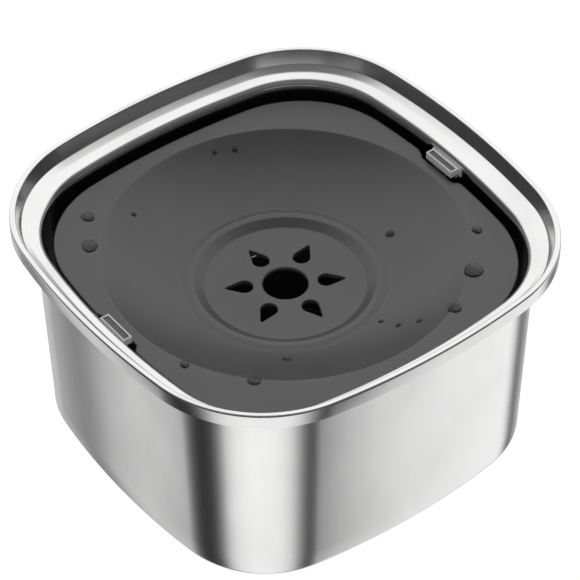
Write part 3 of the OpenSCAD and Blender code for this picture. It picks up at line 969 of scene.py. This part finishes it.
    def under_path(self) -> np.ndarray:
        """The underside of the dish and the hub, as rows of (radius, height), from the hub outwards."""
        low, slant = self.floor_z - self.thick, 1.15
        foot_in, top_in, edge_out = 8.0, 2.0, 1.2
        radii = np.linspace(self.hub_r - top_in, self.dish_r + edge_out, 12)
        ball = np.stack((radii, self.ball(np.minimum(radii, self.dish_r)) - self.thick * slant), axis=1)
        ball[-1, 1] = -self.thick
        return np.concatenate((((self.sector_r[1], low), (self.hub_r - foot_in, low)), ball))

    def petal_sector(self, shell: Shell) -> None:
        """Adds the hub's floor round each drop-shaped hole, its rounded rim, its wall and its underside.

        The boundary of a hole's sector is the outer arc, a radius, the inner arc and a radius.
        Rows run from the hole's rim p to the boundary b as p + t (b - p).
        """
        near, far = self.sector_r
        half = math.pi / self.petals
        along = np.linspace(-half, half, 360 // self.petals + 1)
        spoke = np.linspace(far, near, 25)[1:-1]
        outer = far * unit(along)
        inner = near * unit(along[::-1])
        left = np.stack((spoke * math.cos(half), spoke * math.sin(half)), axis=1)
        right = np.stack((spoke[::-1] * math.cos(half), -spoke[::-1] * math.sin(half)), axis=1)
        bound = np.concatenate((outer, left, inner, right))
        hole = Petal().facing(bound)
        step = np.roll(hole, -1, axis=0) - np.roll(hole, 1, axis=0)
        out = np.stack((step[:, 1], -step[:, 0]), axis=1) / np.linalg.norm(step, axis=1, keepdims=True)
        shares = np.array((0.0, 0.06, 0.16, 0.32, 0.55, 0.78, 1.0))
        low = self.floor_z - self.thick
        rim = 0.6
        bend = np.radians(np.linspace(90, 0, 5))
        start = hole + rim * out
        rows = [ring_at(start + share * (bound - start), self.floor_z) for share in shares[::-1]]
        rows += [ring_at(hole + rim * (1 - math.cos(a)) * out, self.floor_z - rim * (1 - math.sin(a)))
                 for a in bend[1:]]
        rows += [ring_at(hole + share * (bound - hole), low) for share in shares]
        grid = np.stack(rows)
        for k in range(self.petals):
            a = 2 * half * k
            turn = np.array(((math.cos(a), math.sin(a), 0), (-math.sin(a), math.cos(a), 0), (0, 0, 1)))
            shell.grid(grid @ turn)

    def turned(self, path: np.ndarray, outline: RoundedSquare) -> np.ndarray:
        """Turns a path of (radius, height) about the plate's middle.

        Its columns go over from the outline's angles at the dish's edge to even angles at the hub.
        """
        ease = np.clip((self.dish_r - path[:, 0]) / (self.dish_r - self.hub_r), 0, 1)[:, None]
        return circle_rows(path, outline.angle[None] * (1 - ease) + shared_turn(outline.count)[None] * ease)

    def add_bores(self, shell: Shell, angle: np.ndarray) -> None:
        """Adds the middle hole's wall and the spout under the hub."""
        low, soft, lap = self.floor_z - self.thick, 0.3, 0.4
        near, bend = self.sector_r[0], self.hole_round
        hole = np.concatenate((((near, self.floor_z),),
                               arc((self.hole_r + bend, self.floor_z - bend), bend, 90, 180, 6),
                               ((self.hole_r, low + soft), (self.hole_r + soft, low), (near, low))))
        shell.grid(circle_rows(hole, angle))
        inner, outer = self.spout_r
        end = low - self.spout_drop
        spout = np.array(((inner, low + lap), (inner, end), (outer, end), (outer, low + lap)))
        shell.grid(circle_rows(spout, angle), close_rows=True)

    def build(self, finishes: Finishes) -> None:
        """Makes the plate in one closed shell, with the spout and the posts as shells of their own."""
        outline = self.outline()
        edge = self.edge_rows(outline)
        dish, under = self.turned(self.dish_path(), outline), self.turned(self.under_path(), outline)
        shares = (0.3, 0.65)
        rows = np.concatenate((dish[::-1], blend_rows(dish[0], edge[0], shares), edge,
                               blend_rows(edge[-1], under[-1], shares), under[::-1]))
        shell = Shell().grid(rows)
        self.petal_sector(shell)
        self.add_bores(shell, shared_turn(outline.count))
        self.add_posts(shell)
        place = (self.drift, 0, self.top_z)
        piece = shell.build("float_plate_moulding", finishes.dark_plastic, place, crease=35)
        settle(piece, Body.FLOAT, ("float_plate",))

    def add_posts(self, shell: Shell) -> None:
        """Adds the eight tubes that the cover's screws go into, two at each corner."""
        bore, outer = self.post_r
        low, high, between = self.post_z
        reach, spread = self.post_place
        tube = np.array(((bore, between), (bore, low), (outer, low), (outer, high), (bore, high)))
        rows = circle_rows(tube, shared_turn(32))
        for quarter in range(4):
            for side in (-0.5, 0.5):
                a = math.radians(45 + 90 * quarter + spread * side)
                shell.grid(rows + np.array((reach * math.cos(a), reach * math.sin(a), 0.0)), close_rows=True)


@dataclass
class WaterBeads:
    """Beads of water left on the plate.

    A bead is a dome h (1 - (r / R)^2)^0.45 over a slightly lobed foot. The foot follows the plate's face,
    and the dome's base goes from the face at the bead's rim to the level of its middle by 1 - (r / R)^2.

    Attributes:
        plate: The plate that carries them.
        places: (x, y, radius, height) of each bead, from the plate's middle.
    """

    plate: FloatPlate
    places: tuple[tuple[float, float, float, float], ...] = (
        (-79.0, -64.5, 3.5, 0.9), (-60.5, -76.0, 4.3, 1.0), (-84.5, 18.0, 1.3, 0.7), (-80.5, 28.0, 1.5, 0.8),
        (-72.0, -41.5, 1.3, 0.6), (8.5, 60.0, 2.1, 1.2), (47.0, 84.5, 2.6, 1.2), (68.5, 64.5, 5.1, 1.3),
        (83.5, 40.5, 3.8, 1.1), (73.5, 26.5, 1.6, 1.0), (66.0, 19.5, 1.4, 0.9), (55.0, 17.5, 1.3, 0.9),
        (49.0, -36.0, 2.2, 1.1), (64.5, -67.0, 3.5, 1.0), (36.0, -87.0, 2.4, 1.1))

    def face(self, x: np.ndarray, y: np.ndarray) -> np.ndarray:
        """Height of the plate's face at points of its plan, outside the hub."""
        return self.plate.ball(np.minimum(np.hypot(x, y), self.plate.dish_r))

    def build(self, finishes: Finishes) -> None:
        """Makes all the beads as one piece."""
        shell = Shell()
        reach = np.array((0.12, 0.3, 0.5, 0.68, 0.82, 0.92, 0.98, 1.0))
        angle = shared_turn(28)
        for k, (x, y, radius, height) in enumerate(self.places):
            lobed = radius * (1 + 0.07 * np.cos(2 * angle + k) + 0.04 * np.cos(3 * angle + 2.3 * k))
            plan_x = x + reach[:, None] * lobed * np.cos(angle)
            plan_y = y + reach[:, None] * lobed * np.sin(angle)
            rise = height * (1 - reach**2)[:, None] ** 0.45
            foot = self.face(plan_x, plan_y)
            level = foot + (float(self.face(np.array(x), np.array(y))) - foot) * (1 - reach**2)[:, None]
            top = np.stack((plan_x, plan_y, level + rise), axis=2)
            sunk = np.stack((plan_x, plan_y, foot - 0.06), axis=2)[::-1]
            shell.grid(np.concatenate((top, sunk)), cap_first=True, cap_last=True)
        piece = shell.build("water_beads", finishes.water, (self.plate.drift, 0, self.plate.top_z), crease=60)
        settle(piece, Body.FLOAT)


# --------------------------------------------------------------------------------------
# The locks
# --------------------------------------------------------------------------------------


@dataclass
class Lock:
    """One sliding lock, with the moulded edges of its slider and of its dark pad eased. The dark pad is
    painted shade: a dark sheet in the slider's recessed window, standing in for the shade there.

    Attributes:
        side: "front" or "rear".
        body: The body that the lock is.
        slider_edge: Rounding of the slider's edges.
        pad_edge: Rounding of the edges of the dark pad, the painted shade in the slider's window.
    """

    side: str
    body: Body
    slider_edge: float = 0.35
    pad_edge: float = 0.2

    def eased(self, node: str, name: str, material: bpy.types.Material, radius: float) -> bpy.types.Object:
        """Copies a node with flat faces, merges its triangles and rounds its edges.

        Args:
            node: The CAD node.
            name: The new piece's name.
            material: Its material.
            radius: The rounding.

        Returns:
            The piece.
        """
        source = bpy.data.objects[node]
        mesh = source.data.copy()
        mesh.transform(source.matrix_world)
        work = bmesh.new()
        work.from_mesh(mesh)
        bmesh.ops.remove_doubles(work, verts=work.verts, dist=1e-6)
        bmesh.ops.dissolve_limit(work, angle_limit=math.radians(1), verts=work.verts, edges=work.edges)
        sharp = [edge for edge in work.edges if edge.calc_face_angle(0.0) > math.radians(20)]
        bmesh.ops.bevel(work, geom=sharp, offset=radius * MM, offset_type="OFFSET", segments=3, profile=0.5,
                        affect="EDGES", clamp_overlap=True)
        work.to_mesh(mesh)
        work.free()
        return finish_mesh(mesh, name, material, 60)

    def build(self, finishes: Finishes) -> None:
        """Makes the slider and the dark pad in its window, which paints the window's shade."""
        for part, name, slot, radius in (("lock_slider", "slider", Slot.LIGHT_PLASTIC, self.slider_edge),
                                         # The dark pad is painted shade in the slider's recessed window.
                                         ("lock_pad", "grip", Slot.DARK_PLASTIC, self.pad_edge)):
            node = f"{part}_{self.side}"
            piece = self.eased(node, f"{name}_{self.side}", finishes.of(slot), radius)
            settle(piece, self.body, (node,))


# --------------------------------------------------------------------------------------
# The studio
# --------------------------------------------------------------------------------------


@dataclass
class Studio:
    """Floor, surroundings, lamps and camera.

    Attributes:
        bands: Brightness of the low surroundings by azimuth in degrees, which polished walls show.
        ambient: Brightness that lights matt surfaces from all round.
        lid: Brightness of the soft panel overhead.
        shade: Brightness of the surroundings on the camera's side, near the horizon.
        dusk: How much brighter they are higher up.
        view: Azimuth, elevation and roll of the camera, in degrees.
        target: Middle of the view.
        distance: Distance of the camera from it.
        lens: Focal length over a sensor 36 mm wide.
    """

    bands: tuple[tuple[float, float], ...] = (
        (-180, 0.739), (-171, 0.694), (-165, 0.4), (-161, 0.14), (-157, 0.3), (-153, 0.694), (-145, 0.986),
        (-139, 0.918), (-131, 0.672), (-125, 0.24), (-117, 0.08), (-109, 0.035), (-101, 0.045), (-93, 0.075),
        (-85, 0.32), (-77, 0.963), (-67, 1.277), (-50, 1.4), (-22, 1.344), (-10, 1.098), (-3, 0.672),
        (4, 0.26), (11, 0.075), (19, 0.13), (27, 0.717), (37, 1.086), (55, 1.299), (75, 1.366), (83, 0.952),
        (94, 0.15), (104, 0.32), (122, 0.739))
    ambient: float = 1.0
    lid: float = 1.42
    shade: float = 0.06
    dusk: float = 0.12
    view: tuple[float, float, float] = (53.235, 43.3, -0.368)
    target: tuple[float, float, float] = (10.256, -4.078, 91.2)
    distance: float = 1503.71
    lens: float = 187.395

    def floor(self) -> None:
        """A pale floor. The camera sees it near white, and it keeps the bowl's shadow."""
        reach = 6000.0
        row = np.linspace(-reach, reach, 9)
        x, y = np.meshgrid(row, row, indexing="ij")
        material, shader = new_material("pale_floor")
        tone = shader.noise((0.8, 0.8, 0.8), detail=1.0)
        diffuse = shader.node("ShaderNodeBsdfDiffuse",
                              Color=shader.tint(tone, (0.86, 0.86, 0.86), (0.88, 0.88, 0.88)))
        glow = shader.node("ShaderNodeEmission", Strength=1.12)
        seen = Value(shader, shader.node("ShaderNodeLightPath").outputs["Is Camera Ray"])
        mixed = shader.node("ShaderNodeMixShader", Fac=seen * 0.82)
        shader.feed(mixed.inputs[1], diffuse.outputs[0])
        shader.feed(mixed.inputs[2], glow.outputs[0])
        shader.node("ShaderNodeOutputMaterial", Surface=mixed.outputs[0])
        plane = Shell().grid(np.stack((x, y, np.zeros_like(x)), axis=2), close_columns=False)
        floor = plane.build("floor", material)
        floor.visible_glossy = False
        floor.visible_transmission = False

    def surroundings(self) -> None:
        """Low bands by azimuth, a soft lid overhead, and shade on the camera's side.

        The lid's share of a direction d is the smooth step of d . a, where a points at azimuth 143 and
        elevation 30 degrees, away from the camera. The low bands take over below the horizon.
        """
        world = bpy.data.worlds.new("studio")
        bpy.context.scene.world = world
        shader = Shader(world)
        place = shader.node("ShaderNodeTexCoord").outputs["Generated"]
        parts = shader.node("ShaderNodeSeparateXYZ", Vector=place)
        x, y, z = (Value(shader, parts.outputs[k]) for k in range(3))
        azimuth = shader.math("ARCTAN2", y, x) / FULL_TURN + 0.5
        stops = [((a + 180) / 360, level) for a, level in self.bands]
        ramp = shader.node("ShaderNodeValToRGB", {"stops": stops}, Fac=azimuth)
        low = Value(shader, ramp.outputs["Color"])
        toward = (x * -0.692 + y * 0.521 + z * 0.5).step(0.28, 0.56)
        dim = z.step(0.1, 0.6) * self.dusk + self.shade
        high = toward * (self.lid - dim) + dim
        share = z.step(-0.30, -0.05)
        studio = low * (1.0 - share) + high * share
        path = shader.node("ShaderNodeLightPath")
        sharp = shader.math("MAXIMUM", Value(shader, path.outputs["Is Glossy Ray"]),
                            Value(shader, path.outputs["Is Transmission Ray"]))
        matt = (1.0 - sharp) * self.ambient
        background = shader.node("ShaderNodeBackground", Strength=studio * sharp + matt)
        shader.node("ShaderNodeOutputWorld", Surface=background.outputs["Background"])

    def lamp(self, name: str, place: tuple[float, float, float], size: float, power: float) -> None:
        """Adds a soft square lamp that points at the bowl and that reflections don't show.

        Args:
            name: The lamp's name.
            place: Where it stands, in metres.
            size: Its width, in metres.
            power: Its power, in watts.
        """
        light = bpy.data.lights.new(name, "AREA")
        light.shape = "SQUARE"
        light.size = size
        light.energy = power
        lamp = place_in_scene(name, light)
        lamp.location = place
        lamp.rotation_euler = (-Vector(place)).to_track_quat("-Z", "Y").to_euler()
        lamp.visible_glossy = False

    def camera(self) -> None:
        """Places the camera. Its azimuth grows from the front (-Y) towards +X."""
        azimuth, elevation, roll = (math.radians(a) for a in self.view)
        back = np.array((math.sin(azimuth) * math.cos(elevation), -math.cos(azimuth) * math.cos(elevation),
                         math.sin(elevation)))
        side = np.cross((0.0, 0.0, 1.0), back)
        side /= np.linalg.norm(side)
        up = np.cross(back, side)
        turned = np.column_stack((side * math.cos(roll) + up * math.sin(roll),
                                  -side * math.sin(roll) + up * math.cos(roll), back))
        data = bpy.data.cameras.new("camera")
        data.sensor_width = 36.0
        data.lens = self.lens
        camera = place_in_scene("camera", data)
        matrix = np.eye(4)
        matrix[:3, :3] = turned
        matrix[:3, 3] = (np.array(self.target) + back * self.distance) * MM
        camera.matrix_world = Matrix(matrix.tolist())
        bpy.context.scene.camera = camera

    def build(self) -> None:
        """Sets the stage."""
        bpy.context.scene.view_settings.view_transform = "Standard"
        self.camera()
        self.floor()
        self.surroundings()
        self.lamp("soft_key", (-0.9, 0.5, 1.4), 0.9, 6.0)


def dress_nodes(nodes: dict[str, bpy.types.Object], finishes: Finishes, slots: dict[str, str]) -> None:
    """Gives every CAD node the material of its slot.

    Args:
        nodes: The frame's nodes by name.
        finishes: The materials.
        slots: The slot of each node.
    """
    for name, node in nodes.items():
        material = finishes.of(Slot(slots[name]))
        if not node.data.materials:
            node.data.materials.append(material)
        for place in node.material_slots:
            place.material = material
        LOG.info("%s: node dressed in %s", name, material.name)


def main() -> None:
    """Loads the frame and builds each sub-assembly around it."""
    logging.basicConfig(level=logging.INFO, format="%(name)s: %(message)s")
    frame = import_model()
    Studio().build()
    finishes = Finishes()
    slots = {s["node"]: s["material_slot"] for s in frame["record"]["subparts"]}
    dress_nodes(frame["nodes"], finishes, slots)
    plate = FloatPlate()
    bowl = SteelBowl()
    bowl.build(finishes)
    RimRing(bowl).build(finishes)
    plate.build(finishes)
    WaterBeads(plate).build(finishes)
    Lock("front", Body.LOCK_FRONT).build(finishes)
    Lock("rear", Body.LOCK_REAR).build(finishes)


if __name__ == "__main__":
    main()
